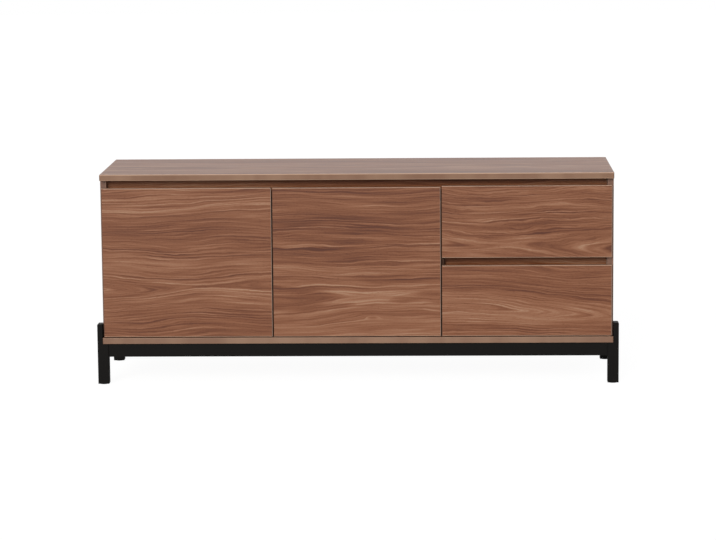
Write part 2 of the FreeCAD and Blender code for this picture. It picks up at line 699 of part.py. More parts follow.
def hinge_link(hand):
    """A bent strap with an eye at each end."""
    s = sheet
    half = s.link_width / 2
    points = [
        Vector(hand * s.arm_pivot_across, s.arm_pivot_in, -half),
        Vector(hand * s.link_knee_across, s.link_knee_in, -half),
        Vector(hand * s.link_bend_across, s.link_bend_in, -half),
        Vector(hand * s.cup_pivot_across, s.cup_pivot_in, -half),
    ]
    up = Vector(0, 0, s.link_width)
    link = None
    for start, end in zip(points, points[1:]):
        along = (end - start).normalize()
        side = Vector(-along.y, along.x, 0) * (s.link_thickness / 2)
        outline = Part.makePolygon([start + side, end + side, end - side, start - side, start + side])
        bend = Part.makeCylinder(s.link_thickness / 2, s.link_width, end)
        piece = Part.Face(outline).extrude(up).fuse(bend)
        link = piece if link is None else link.fuse(piece)
    eye = s.link_pin_radius + s.fit_play + s.link_eye_wall
    for point in (points[0], points[-1]):
        link = link.fuse(Part.makeCylinder(eye, s.link_width, point))
    for point in (points[0], points[-1]):
        bore = Part.makeCylinder(s.link_pin_radius + s.fit_play, s.link_width + 2 * s.overrun,
                                 point - Vector(0, 0, s.overrun))
        link = link.cut(bore)
    return link.removeSplitter()


def hinge_arm(hand, base):
    """A pressed arm on its plate, from the board's face at base to the pin at its tip."""
    s = sheet
    half = s.link_width / 2 + s.fit_play + s.arm_cheek
    start = base + s.plate_thickness
    tip_y = s.arm_pivot_in - s.arm_tip_reach
    fork_y = s.arm_pivot_in + s.arm_tip_reach + s.fit_play
    end_y = s.arm_pivot_in + s.arm_length
    outer_x = s.arm_pivot_across + s.arm_tip_reach
    arm = block((hand * start, tip_y, -half), (hand * outer_x, end_y, half))
    slot_half = half - s.arm_cheek
    arm = arm.cut(block((hand * (start - s.overrun), tip_y - s.overrun, -slot_half),
                        (hand * (outer_x + s.overrun), fork_y, slot_half)))
    arm = arm.cut(block((hand * (start - s.overrun), fork_y + s.arm_cheek, -slot_half),
                        (hand * (outer_x - s.arm_cheek), end_y + s.overrun, slot_half)))
    pin = pin_through(hand * s.arm_pivot_across, s.arm_pivot_in, s.link_pin_radius, half)
    return arm.fuse(pin).removeSplitter()


def hinge_plate(hand, base):
    """The mounting plate under an arm, on the face of the board."""
    s = sheet
    middle_y = s.board + s.front_play + s.row_inset
    low = (hand * base, middle_y - s.plate_length / 2, -s.plate_height / 2)
    high = (hand * (base + s.plate_thickness), middle_y + s.plate_length / 2, s.plate_height / 2)
    return block(low, high)


def place_shape(shape, spot):
    """One finished shape at a bound place."""
    feature = doc.addObject("Part::Feature", "hinge_piece")
    feature.Shape = shape
    bind_place(feature, spot)
    return feature


def make_hinges():
    """Two concealed hinges to a door: plate and arm on the carcass, link, and cup in the door."""
    s = sheet
    arms = []
    plates = []
    hung = (("left", 1, s.board - s.side_reveal), ("middle", -1, (s.board - s.front_gap) / 2))
    for door, hand, base in hung:
        spots = hinge_spots(f"{door}_door")
        group(f"{door}_hinge_cups", [place_shape(hinge_cup(hand), spot) for spot in spots])
        group(f"{door}_hinge_links", [place_shape(hinge_link(hand), spot) for spot in spots])
        arms += [place_shape(hinge_arm(hand, base), spot) for spot in spots]
        plates += [place_shape(hinge_plate(hand, base), spot) for spot in spots]
    group("hinge_arms", arms)
    group("hinge_plates", plates)


def make_drawer(name, low_z):
    """One drawer: its front, and a dowelled and grooved box of thin boards."""
    box_z = f"{low_z} + box_lift"
    groove_z = f"{box_z} + box_floor_lift"
    groove_end_z = f"{groove_z} + back_board + 2 * fit_play"
    front_x = "divider_x + front_gap / 2"
    front = f"{name}_drawer_front"
    spans = (f"half_width - side_reveal - ({front_x})", "board", f"{name}_front_height")
    banded(front, (front_x, "front_y", low_z), spans)
    mill(front, "rear", ("box_x + box_board - box_groove", "0", groove_z),
         ("box_end_x - box_board + box_groove", "0", groove_end_z), "box_groove")
    back = f"{name}_drawer_back"
    back_y = "box_y + box_length - box_board"
    add_board(back, ("box_x + box_board", back_y, groove_end_z),
              ("box_end_x - box_x - 2 * box_board", "box_board", f"{box_z} + box_height - ({groove_end_z})"))

    bore = "box_dowel_diameter + fit_play"
    shallow = "box_dowel_seat + fit_play"
    deep = "box_dowel_length - box_dowel_seat + fit_play"
    back_middle_y = f"{back_y} + box_board / 2"
    dowel_z = (f"{groove_end_z} + box_dowel_inset", f"{box_z} + box_height - box_dowel_inset")
    dowels = []
    sides = (("left", "right", "box_x", 1), ("right", "left", "box_end_x", -1))
    for side, inner_face, outer_x, hand in sides:
        label = f"{name}_drawer_{side}_side"
        corner_x = outer_x if hand > 0 else f"{outer_x} - box_board"
        add_board(label, (corner_x, "box_y", box_z), ("box_board", "box_length", "box_height"))
        mill(label, inner_face, ("0", "box_y - overrun", groove_z),
             ("0", "box_y + box_length + overrun", groove_end_z), "box_groove")
        middle_x = f"{corner_x} + box_board / 2"
        front_spots = [(middle_x, "0", z) for z in dowel_z]
        drill(front, "rear", front_spots, bore, shallow)
        drill(label, "front", front_spots, bore, deep)
        back_spots = [("0", back_middle_y, z) for z in dowel_z]
        drill(label, inner_face, back_spots, bore, shallow)
        drill(back, side, back_spots, bore, deep)
        start_x = f"{outer_x} + {hand} * (box_board - box_dowel_seat)"
        inward = "+x" if hand > 0 else "-x"
        for z in dowel_z:
            ends = (((middle_x, "box_y - box_dowel_seat", z), "+y"), ((start_x, back_middle_y, z), inward))
            dowels += [rod(spot, way, "box_dowel_diameter", "box_dowel_length") for spot, way in ends]
    group(f"{name}_drawer_dowels", dowels)

    floor_inset = "box_board - box_groove + fit_play"
    floor_y = "box_y - box_groove + fit_play"
    add_board(f"{name}_drawer_bottom", (f"box_x + {floor_inset}", floor_y, f"{groove_z} + fit_play"),
              (f"box_end_x - box_x - 2 * ({floor_inset})", f"box_y + box_length - ({floor_y})", "back_board"))
    make_runners(name, f"{box_z} + runner_lift")


def channel(label, corner, hand, reach, height):
    """A length of steel channel whose web is on the left for hand 1 and on the right for -1."""
    wall = "runner_wall"
    corners = [("0", "0"), (reach, "0"), (reach, wall), (wall, wall), (wall, f"{height} - {wall}"),
               (reach, f"{height} - {wall}"), (reach, height), ("0", height)]
    if hand < 0:
        corners = [(f"{reach} - ({across})", up) for across, up in corners]
    add_body(label, corner, (reach, "runner_length", height), "front", corners)


def make_runners(name, middle_z):
    """A ball runner on each side of a drawer, three channels one inside the other."""
    place_y = "side_y + runner_inset"
    for side, hand, wall_x in (("left", 1, "divider_x + board / 2"), ("right", -1, "side_inner_x")):
        members = (("cabinet", 0, "runner_width - channel_step", hand),
                   ("middle", 1, "runner_width - 2 * channel_step", hand),
                   ("drawer", 2, "runner_width - 2 * channel_step", -hand))
        for member, step, reach, web in members:
            height = f"runner_height - {2 * step} * channel_step"
            start = f"{wall_x} + {hand * step} * channel_step"
            if hand < 0:
                start = f"{start} - ({reach})"
            corner = (start, place_y, f"{middle_z} - ({height}) / 2")
            channel(f"{name}_{side}_{member}_runner", corner, web, reach, height)


def check_and_write():
    """Stop if any object failed, then write each node to its own file."""
    doc.recompute()
    failed = [thing.Name for thing in doc.Objects if {"Invalid", "Error"} & set(thing.State)]
    if failed:
        raise ValueError(f"failed objects: {failed}")
    os.makedirs("parts", exist_ok=True)
    for label, thing in nodes.items():
        shape = thing.Shape
        if shape.isNull() or not shape.isValid() or not shape.Solids:
            raise ValueError(f"{label} has no valid solid")
        shape.exportStep(f"parts/{label}.step")
        print(f"{label}: {len(shape.Solids)} solid(s), {shape.Volume:.0f} mm3")


fill_sheet()
make_top_and_bottom()
make_uprights()
make_cams()
make_front_rails()
make_backs()
make_shelves()
make_legs()
make_frame()
make_doors()
make_hinges()
make_drawer("lower", "front_z")
make_drawer("upper", "upper_front_z")
check_and_write()
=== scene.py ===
import math

import bmesh
import bpy
from mathutils import Euler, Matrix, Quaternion, Vector


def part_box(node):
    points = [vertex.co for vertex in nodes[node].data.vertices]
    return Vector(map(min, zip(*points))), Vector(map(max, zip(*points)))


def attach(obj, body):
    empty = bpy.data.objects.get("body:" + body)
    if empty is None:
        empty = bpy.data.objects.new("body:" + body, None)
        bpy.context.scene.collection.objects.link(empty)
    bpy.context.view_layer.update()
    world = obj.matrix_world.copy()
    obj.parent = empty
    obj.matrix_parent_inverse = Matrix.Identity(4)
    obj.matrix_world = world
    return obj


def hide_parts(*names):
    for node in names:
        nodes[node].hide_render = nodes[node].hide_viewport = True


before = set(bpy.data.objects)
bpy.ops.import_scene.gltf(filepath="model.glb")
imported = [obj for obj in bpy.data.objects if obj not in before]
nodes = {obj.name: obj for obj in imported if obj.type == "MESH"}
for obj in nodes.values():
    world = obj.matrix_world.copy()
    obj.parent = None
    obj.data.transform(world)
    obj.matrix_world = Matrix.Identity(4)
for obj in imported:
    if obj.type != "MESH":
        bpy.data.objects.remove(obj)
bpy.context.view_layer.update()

# Metres throughout; MM turns a size in millimetres into metres
MM = 0.001

# The camera that sees the fronts as the photograph does: its place, its turns in degrees, and the
# distance from its eye to the picture, in pixels of a picture PICTURE_WIDTH wide
CAMERA_PLACE = Vector((0.2496, -8.0274, 1.5071))
CAMERA_YAW = 1.802
CAMERA_PITCH = 8.497
CAMERA_ROLL = -0.493
CAMERA_REACH = 2704.4
PICTURE_WIDTH = 716
SENSOR_WIDTH = 36

# How near and how far the camera sees and the width of the floor, in metres, and the light that
# the floor gives the camera and the surround gives the sideboard, where 1 is white
NEAREST = 0.1
FARTHEST = 100
FLOOR_WIDTH = 40
FLOOR_GLOW = 0.95
SURROUND_LIGHT = 0.34

# Each softbox: the way it shines from, in degrees to the left of the front and up, its apparent
# width in degrees, and its strength
SOFTBOXES = {
    "key_softbox": (18, 23, 26, 1.75),
    "fill_softbox": (-50, 30, 40, 0.35)}

# The walnut print from its latewood lines to its light streaks, and the bands on the board edges
WALNUT = ("#562810", "#734022", "#875334", "#9C6B4D", "#B18A6D")
# The plain band: a plainer print, greyed and lightened partly by a painted sheen
BAND = ("#84614B", "#99775F")
# The side boards' band, darkened as painted shade
SHADED_SIDE_BAND = ("#714F3E", "#835F4C")
# A band in painted shade, for the ends of fronts and the dividers' edges
SHADED_BAND = ("#4E3424", "#5F402D")
# A painted highlight on an eased arris, standing for the light it catches
ARRIS_HIGHLIGHT = "#C9A48B"
# A painted highlight on the arris of a front's right end, over its painted shade
END_ARRIS_HIGHLIGHT = "#957B6B"

# The shade of the print about which its layers lighten and darken, from 0 to 1 along its colours
MIDDLE_SHADE = 0.475

# How sharply the figures of the print end, from 2 for round to 1 for a plain wedge
POINTED = 1.5

# Sizes of the figures, in millimetres: the length over which one turns at its waist, the rounding
# of its least depth, how far the heart line wanders and shivers from side to side, the mean
# distance of the rings, and the length, width and lift of the two swells that make a knot
SOFT_TURN = 60
SOFT_DEPTH = 8
WANDER = 60
SHIVER = 13
RING_PITCH = 12
KNOT_SWELLS = ((80, 26, 9), (22, 5, 8))

# How the rings differ: how sharply the two sides of the heart line part and how far, how many
# rings the spacing and the waver shift them by, the contrast and level of the patches, and how
# much rarer dark rings are than faint ones
SIDES_SHARPNESS = 40.0
SIDES_SHIFT = 0.7
SPACING_SHIFT = 3.2
WAVER_SHIFT = 0.7
PATCH_CONTRAST = 2.0
PATCH_LEVEL = -0.45
RARE_DARKNESS = 1.6

# Patterns of the print that lie on the board: the length and width of their features in
# millimetres, their detail and roughness, and a shift that keeps them apart. The pores of walnut
# are 0.2 mm wide; they are drawn 0.9 mm wide, the finest that shows.
BOARD_PATTERNS = {
    "wander": (420, 150, 1.0, 0.5, 0.0),
    "shiver": (95, 24, 2.0, 0.5, 3.1),
    "pores": (9, 0.9, 1.0, 0.5, 9.6),
    "band_grain": (130, 3.0, 3.0, 0.6, 4.4)}

# Patterns that follow the rings, given in the same way
RING_PATTERNS = {
    "waver": (260, 30, 1.0, 0.5, 8.3),
    "patches": (180, 14, 1.0, 0.5, 7.7),
    "clouds": (700, 55, 2.0, 0.5, 1.3),
    "streaks": (300, 6.5, 2.0, 0.55, 5.2),
    "fine_streaks": (150, 2.6, 1.0, 0.5, 2.4)}

# Patterns that only change from ring to ring: their width in millimetres, detail and shift
RING_LINES = {
    "spacing": (40, 1.0, 2.0),
    "broad_groups": (60, 1.0, 5.0),
    "groups": (7, 2.0, 9.0),
    "single_rings": (2.8, 1.0, 13.0)}
RING_LINE_ROUGHNESS = 0.6

# Where an arris or a band begins and where it is full, in millimetres inside a board's face
ARRIS_REACH = (2.6, 1.6)
BAND_REACH = (1.6, 1.0)
# Both ends of a front take painted shade over these reaches, and the right end also a painted
# highlight on its arris
LEFT_END_REACH = (1.3, 0.8)
RIGHT_END_REACH = (1.9, 1.4)

# How much of the painted highlight the lower arris of a flat board keeps, since the light comes
# from above
LOWER_ARRIS = 0.35

# How a board lies: its axes along the grain, across it and through its thickness
FRONT = (0, 2, 1)
FLAT = (0, 1, 2)
UPRIGHT = (2, 1, 0)

# A Mix node's sockets for its factor, the colour under and the colour over, and for the outcome
FACTOR, UNDER, OVER, MIXED = 0, 6, 7, 2

# Places of the cam locks, in millimetres: on the left side board they face right, and on the two
# dividers and the right side board they face left
LEFT_CAM_X = -732
OTHER_CAM_X = (-256, 238, 732)
CAM_Y = (-130, 137)
CAM_Z = (163, 580)

# Places of the heads of the screws in the backs and under the base, in millimetres
BACK_SCREW_X = (-247, 242.5, 251.5)
BACK_SCREW_Y = 202
BACK_SCREW_Z = (184, 371.5, 559)
BASE_SCREW_X = (-520, 0, 520)
BASE_SCREW_Y = (-197, 197)
BASE_SCREW_Z = 93

# The hinges, in millimetres: the height of a screw's head, the faces of the plates, where the
# screws of a plate stand and how far above and below its middle, the height of a cup's flange,
# how far its screws stand further in than the middle of the cup, and how far above and below it
HINGE_HEAD = 1.2
LEFT_PLATE_X = -729
MIDDLE_PLATE_X = 235
PLATE_SCREW_Y = -153
PLATE_SCREW_STEP = 16
FLANGE_HEIGHT = 52
FLANGE_INSET = 2.5
CUP_SCREW_STEP = 21.5

# The fasteners: the sides of their round forms and the steps of their eased rims, how far the
# field of a cross reaches from its arms towards the rim, how narrow a cross and a point are at
# their ends, how long a point is for the radius of its shank, and the angle in degrees up to
# which their faces are smoothed
ROUND_SIDES = 32
RIM_STEPS = 3
FIELD_REACH = 0.15
CROSS_TAPER = 0.6
POINT_TAPER = 0.2
POINT_LENGTH = 2
SMOOTH_UP_TO = 40

# Each screw of a set stands turned by this many degrees against the one before it
SCREW_TURN = 37

# Two heights closer than this, in millimetres, are taken as one, and a face counts as level where
# the upright part of its normal is longer than LEVEL
NEARLY = 0.001
LEVEL = 0.99


def linear(code):
    """The linear colour of an sRGB hex code, with full alpha."""
    channels = [int(code[start:start + 2], 16) / 255 for start in (1, 3, 5)]
    bent = [c / 12.92 if c <= 0.04045 else ((c + 0.055) / 1.055) ** 2.4 for c in channels]
    return (*bent, 1.0)


def add(owner, kind, inputs=(), stops=(), **settings):
    """Adds one node to a material or a world, with its settings, inputs and colour stops.

    The inputs come in order or by name. A node or socket among them is linked, and any other
    value is set.
    """
    node = owner.node_tree.nodes.new(f"ShaderNode{kind}")
    for name, value in settings.items():
        setattr(node, name, value)
    named = inputs.items() if isinstance(inputs, dict) else enumerate(inputs)
    for name, value in named:
        if isinstance(value, bpy.types.Node):
            value = value.outputs[0]
        if isinstance(value, bpy.types.NodeSocket):
            owner.node_tree.links.new(value, node.inputs[name])
        else:
            node.inputs[name].default_value = value
    for number, (place, colour) in enumerate(stops):
        ramp = node.color_ramp.elements
        stop = ramp[number] if number < len(ramp) else ramp.new(place)
        stop.position = place
        stop.color = colour
    return node


def new_material(name):
    """An empty material and its output node."""
    material = bpy.data.materials.new(name)
    material.use_nodes = True
    material.node_tree.nodes.clear()
    return material, add(material, "OutputMaterial")


def dress(names, material):
    """Gives CAD nodes a material on their own slots."""
    for name in names:
        for slot in nodes[name].material_slots:
            slot.material = material


def print_patterns(material, field, patterns):
    """The patterns of a table, drawn along a field."""
    drawn = {}
    for name, (length, width, detail, roughness, shift) in patterns.items():
        stretched = add(material, "Mapping", {
            "Vector": field, "Location": (shift, shift, shift),
            "Scale": (1 / (length * MM), 1 / (width * MM), 1.0)})
        drawn[name] = add(material, "TexNoise", {
            "Vector": stretched, "Scale": 1.0, "Detail": detail, "Roughness": roughness})
    return drawn


def walnut_foil(node, lay, *, heart, depth, closing=0.0, lean=0.0, least=3, slope=0.0,
                knot=None, ring=0.6, tone=1.0, grain=1.0, waves=1.0, fade=0.0, calm=0.0,
                band=BAND, arris=1.0, gloss=0.5, seed):
    """Walnut-grained melamine foil on particle board, with banded edges and a satin coat.

    The print shows the figure of a flat-sawn board: rings round a heart line that runs lengthwise
    through a place (along, across) from the middle of the board, at a depth under its face. The
    depth shrinks along the board where closing is negative, which draws a waist with a pointed
    figure at each end, and grows where it is positive, which draws a lens. Places and depths are
    in millimetres, and closing is in millimetres for each millimetre; lean makes it slower on the
    right of the heart line's place than on its left. Least is the least depth, and slope how fast
    the heart line climbs towards the right. A knot lies at a place of its own. Ring is how dark
    the rings are, tone how strong the broad changes of shade, grain how strong the fine streaks
    are and waves how much they waver. Fade is how much lighter the board gets towards its lower
    edge, and calm how much plainer. Band gives the two colours of its edge bands, with a painted
    sheen in the plain band and painted shade in the bands of the side boards and dividers. Arris
    is how strong the painted highlight on their eased edges is, and gloss how much the coat
    mirrors. Seed picks one board out of many.
    """
    material, output = new_material(f"walnut_foil_{node}")
    low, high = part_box(node)
    middle = (low + high) / 2
    half = (high - low) / 2
    along_axis, across_axis, through_axis = lay
    place = add(material, "TexCoord").outputs["Object"]
    centred = add(material, "VectorMath", (place, middle), operation="SUBTRACT")
    parts = add(material, "SeparateXYZ", (centred,))
    along = parts.outputs[along_axis]
    across = parts.outputs[across_axis]
    through = parts.outputs[through_axis]

    # The heart line wanders over the length of the board and shivers from place to place
    board = add(material, "CombineXYZ", (along, across, seed))
    on_board = print_patterns(material, board, BOARD_PATTERNS)
    wander = add(material, "Math", (on_board["wander"], WANDER * MM, -WANDER / 2 * MM),
                 operation="MULTIPLY_ADD")
    shiver = add(material, "Math", (
        on_board["shiver"], SHIVER * waves * MM, -SHIVER / 2 * waves * MM),
        operation="MULTIPLY_ADD")
    astray = add(material, "Math", (wander, shiver), operation="ADD")
    tilted = add(material, "Math", (along, -slope, -heart[1] * MM), operation="MULTIPLY_ADD")
    straight = add(material, "Math", (across, tilted), operation="ADD")
    from_heart = add(material, "Math", (straight, astray), operation="ADD")

    # The depth changes evenly along the board, with a soft turn at the waist
    from_waist = add(material, "Math", (along, heart[0] * MM), operation="SUBTRACT")
    squared = add(material, "Math", (from_waist, from_waist, (SOFT_TURN * MM) ** 2),
                  operation="MULTIPLY_ADD")
    turned = add(material, "Math", (squared,), operation="SQRT")
    bowed = add(material, "Math", (turned, closing, (depth - closing * SOFT_TURN) * MM),
                operation="MULTIPLY_ADD")
    leaning = add(material, "Math", (from_waist, lean, bowed), operation="MULTIPLY_ADD")
    under = add(material, "Math", (leaning, least * MM, SOFT_DEPTH * MM), operation="SMOOTH_MAX")

    # The rings are drawn round the heart line, with ends that are more or less pointed
    aside = add(material, "Math", (from_heart,), operation="ABSOLUTE")
    flank = add(material, "Math", (aside, POINTED), operation="POWER")
    deep = add(material, "Math", (under, POINTED), operation="POWER")
    figured = add(material, "Math", (flank, deep), operation="ADD")
    radius = add(material, "Math", (figured, 1 / POINTED), operation="POWER")

    # A knot lifts the rings round it, sharply in its eye and softly further off
    if knot:
        from_knot = add(material, "CombineXYZ", (
            add(material, "Math", (along, knot[0] * MM), operation="SUBTRACT"),
            add(material, "Math", (across, knot[1] * MM), operation="SUBTRACT")))
        for length, width, lift in KNOT_SWELLS:
            spot = add(material, "VectorMath", (
                from_knot, (1 / (length * MM), 1 / (width * MM), 0)), operation="MULTIPLY")
            reach = add(material, "VectorMath", (spot, spot), operation="DOT_PRODUCT")
            falling = add(material, "Math", (reach.outputs["Value"], -1.0), operation="MULTIPLY")
            swell = add(material, "Math", (falling,), operation="EXPONENT")
            radius = add(material, "Math", (swell, lift * MM, radius), operation="MULTIPLY_ADD")

    # All that the rings carry follows them; the two sides of the heart line differ a little
    parted = add(material, "Math", (from_heart, SIDES_SHARPNESS), operation="MULTIPLY")
    side_of_heart = add(material, "Math", (parted,), operation="TANH")
    sides = add(material, "Math", (side_of_heart, SIDES_SHIFT, seed), operation="MULTIPLY_ADD")
    figure = add(material, "CombineXYZ", (along, radius, sides))
    on_rings = print_patterns(material, figure, RING_PATTERNS)
    by_ring = {}
    for name, (width, detail, shift) in RING_LINES.items():
        outward = add(material, "Math", (radius, 1 / (width * MM), seed + shift),
                      operation="MULTIPLY_ADD")
        by_ring[name] = add(material, "TexNoise", {
            "W": outward, "Scale": 1.0, "Detail": detail,
            "Roughness": RING_LINE_ROUGHNESS}, noise_dimensions="1D")

    # Each ring has a number, by which it has a darkness of its own
    even_count = add(material, "Math", (radius, RING_PITCH * MM), operation="DIVIDE")
    spaced = add(material, "Math", (by_ring["spacing"], SPACING_SHIFT, even_count),
                 operation="MULTIPLY_ADD")
    count = add(material, "Math", (on_rings["waver"], WAVER_SHIFT, spaced),
                operation="MULTIPLY_ADD")
    whole = add(material, "Math", (count,), operation="FLOOR")
    number = add(material, "Math", (whole, seed), operation="ADD")
    inside = add(material, "Math", (count,), operation="FRACT")
    darkness = add(material, "TexWhiteNoise", {"W": number}, noise_dimensions="1D")

    # How far down the board a place is, from -1 to 1, and how far outside its faces it lies
    lower = add(material, "Math", (across, -half[across_axis]), operation="DIVIDE")
    backwards = add(material, "Math", (along, -1.0), operation="MULTIPLY")
    sideways = add(material, "Math", (across,), operation="ABSOLUTE")
    inwards = add(material, "Math", (through,), operation="ABSOLUTE")
    left_end, right_end, side, face = [
        add(material, "Math", (distance, half[axis]), operation="SUBTRACT")
        for distance, axis in ((backwards, along_axis), (along, along_axis),
                               (sideways, across_axis), (inwards, through_axis))]

    # Smooth steps, each from 0 where its value is the first number to 1 where it is the second.
    # The latewood rises slowly and ends sharply on the outer side of its ring.
    steps = {}
    for name, value, start, end in (
            ("latewood", inside, 0.3, 0.9),
            ("ring_end", inside, 1.0, 0.92),
            ("earlywood", inside, 0.3, 0.02),
            ("pores", on_board["pores"], 0.58, 0.72),
            ("heartwood", radius, 80 * MM, 30 * MM),
            ("lower_half", lower, 0.0, 1.0),
            ("band_grain", on_board["band_grain"], 0.3, 0.7),
            ("face", face, *(-reach * MM for reach in ARRIS_REACH)),
            ("side", side, *(-reach * MM for reach in BAND_REACH)),
            ("left_end", left_end, *(-reach * MM for reach in LEFT_END_REACH)),
            ("right_end", right_end, *(-reach * MM for reach in RIGHT_END_REACH))):
        steps[name] = add(material, "MapRange", {
            "Value": value, "From Min": start, "From Max": end}, interpolation_type="SMOOTHSTEP")

    # Latewood is dark in patches, and earlywood is as light as the latewood of its ring is dark
    latewood = add(material, "Math", (steps["latewood"], steps["ring_end"]), operation="MULTIPLY")
    patchy = add(material, "Math", (on_rings["patches"], PATCH_CONTRAST, PATCH_LEVEL),
                 operation="MULTIPLY_ADD", use_clamp=True)
    darker = add(material, "Math", (darkness, RARE_DARKNESS), operation="POWER")
    strong = add(material, "Math", (darker, patchy), operation="MULTIPLY")
    dark_lines = add(material, "Math", (latewood, strong), operation="MULTIPLY")
    light_lines = add(material, "Math", (steps["earlywood"], darkness), operation="MULTIPLY")

    # Each layer of the print: its strength, and its mean, about which it lightens or darkens
    shade = 0.0
    for layer, strength, mean in (
            (on_rings["clouds"], 0.9 * tone, 0.5),
            (by_ring["broad_groups"], 0.54 * tone, 0.5),
            (on_rings["streaks"], 0.58 * grain, 0.5),
            (by_ring["groups"], 0.22 * grain, 0.5),
            (on_rings["fine_streaks"], 0.84 * grain, 0.5),
            (by_ring["single_rings"], 0.33 * grain, 0.5),
            (dark_lines, -ring, 0.06),
            (light_lines, 0.3 * ring, 0.1),
            (steps["heartwood"], 0.09, 0.3),
            (steps["pores"], -0.24, 0.1)):
        centre = add(material, "Math", (layer, strength, -strength * mean),
                     operation="MULTIPLY_ADD")
        shade = add(material, "Math", (centre, shade), operation="ADD")
    calmer = add(material, "Math", (steps["lower_half"], -calm, 1.0), operation="MULTIPLY_ADD")
    lighter = add(material, "Math", (lower, fade, MIDDLE_SHADE), operation="MULTIPLY_ADD")
    shade = add(material, "Math", (shade, calmer, lighter), operation="MULTIPLY_ADD")
    foil = add(material, "ValToRGB", (shade,), [
        (number / (len(WALNUT) - 1), linear(code)) for number, code in enumerate(WALNUT)])

    # A painted highlight stands for the light that the eased arris of a band catches, and on a flat
    # board it lies mostly on the upper arris
    near_face = steps["face"]
    if lay == FLAT:
        upper = add(material, "MapRange", {
            "Value": through, "From Min": -1 * MM, "From Max": 1 * MM},
            interpolation_type="SMOOTHSTEP")
        lit = add(material, "Math", (upper, 1 - LOWER_ARRIS, LOWER_ARRIS),
                  operation="MULTIPLY_ADD")
        near_face = add(material, "Math", (near_face, lit), operation="MULTIPLY")
    eased = add(material, "Math", (near_face, arris), operation="MULTIPLY")

    # The band of an edge is plainer than the foil, and greyer and lighter partly in its own colour
    # and partly by a painted sheen. The left end of a front lies in the shade of its neighbour, so
    # painted shade darkens it up to its arris; the right end is painted shade too, with a painted
    # highlight on its arris.
    plain_band, shaded_band = [
        add(material, "Mix", {
            FACTOR: steps["band_grain"], UNDER: linear(deep), OVER: linear(pale)},
            data_type="RGBA").outputs[MIXED]
        for deep, pale in (band, SHADED_BAND)]
    band_edge, shaded_edge = [
        add(material, "Mix", {FACTOR: eased, UNDER: under, OVER: linear(over)},
            data_type="RGBA").outputs[MIXED]
        for under, over in ((plain_band, ARRIS_HIGHLIGHT), (shaded_band, END_ARRIS_HIGHLIGHT))]
    colour = foil
    for name, over in (("side", band_edge), ("left_end", shaded_band), ("right_end", shaded_edge)):
        colour = add(material, "Mix", {FACTOR: steps[name], UNDER: colour, OVER: over},
                     data_type="RGBA").outputs[MIXED]

    # The coat is a little rougher on light streaks, and the pores are pressed into it
    roughness = add(material, "Math", (on_rings["fine_streaks"], 0.08, 0.36),
                    operation="MULTIPLY_ADD")
    pressed = add(material, "Math", (steps["pores"], -1.0), operation="MULTIPLY")
    height = add(material, "Math", (on_rings["fine_streaks"], 0.3, pressed),
                 operation="MULTIPLY_ADD")
    bump = add(material, "Bump", {"Strength": 0.3, "Distance": 0.05 * MM, "Height": height})
    shader = add(material, "BsdfPrincipled", {
        "Base Color": colour, "Roughness": roughness, "Specular IOR Level": gloss, "IOR": 1.5,
        "Normal": bump})
    material.node_tree.links.new(shader.outputs[0], output.inputs["Surface"])
    dress([node], material)


def satin_black():
    """Hardwood under a sprayed black lacquer: nearly matt, with the ripple of the wood under it."""
    material, output = new_material("black_lacquered_hardwood")
    place = add(material, "TexCoord").outputs["Object"]
    ripple = add(material, "TexNoise", {
        "Vector": add(material, "Mapping", {"Vector": place, "Scale": (1.0, 1.0, 0.2)}),
        "Scale": 1 / (2.5 * MM), "Detail": 2.0})
    tone = add(material, "Mix", {
        FACTOR: ripple, UNDER: linear("#080706"), OVER: linear("#120F0C")}, data_type="RGBA")
    bump = add(material, "Bump", {"Strength": 0.25, "Distance": 0.08 * MM, "Height": ripple})
    shader = add(material, "BsdfPrincipled", {
        "Base Color": tone.outputs[MIXED], "Roughness": 0.5, "Specular IOR Level": 0.12,
        "IOR": 1.5, "Normal": bump})
    material.node_tree.links.new(shader.outputs[0], output.inputs["Surface"])
    return material


def plain(name, light, dark, grit, roughness, metallic=0.0, stretch=(1.0, 1.0, 1.0)):
    """A finish of two close tones with a fine grit, its grains given in millimetres.

    Stretch is how closely the grains follow each other along each axis, so less than 1 draws them
    out. The IOR stays as the shader has it, on the metals as on the rest.
    """
    material, output = new_material(name)
    place = add(material, "TexCoord").outputs["Object"]
    pattern = add(material, "TexNoise", {
        "Vector": add(material, "Mapping", {"Vector": place, "Scale": stretch}),
        "Scale": 1 / (grit * MM), "Detail": 3.0})
    tone = add(material, "Mix", {FACTOR: pattern, UNDER: linear(light), OVER: linear(dark)},
               data_type="RGBA")
    uneven = add(material, "Math", (pattern, 0.12, roughness - 0.06), operation="MULTIPLY_ADD")
    bump = add(material, "Bump", {"Strength": 0.3, "Distance": 0.05 * MM, "Height": pattern})
    shader = add(material, "BsdfPrincipled", {
        "Base Color": tone.outputs[MIXED], "Roughness": uneven, "Metallic": metallic,
        "Normal": bump})
    material.node_tree.links.new(shader.outputs[0], output.inputs["Surface"])
    return material


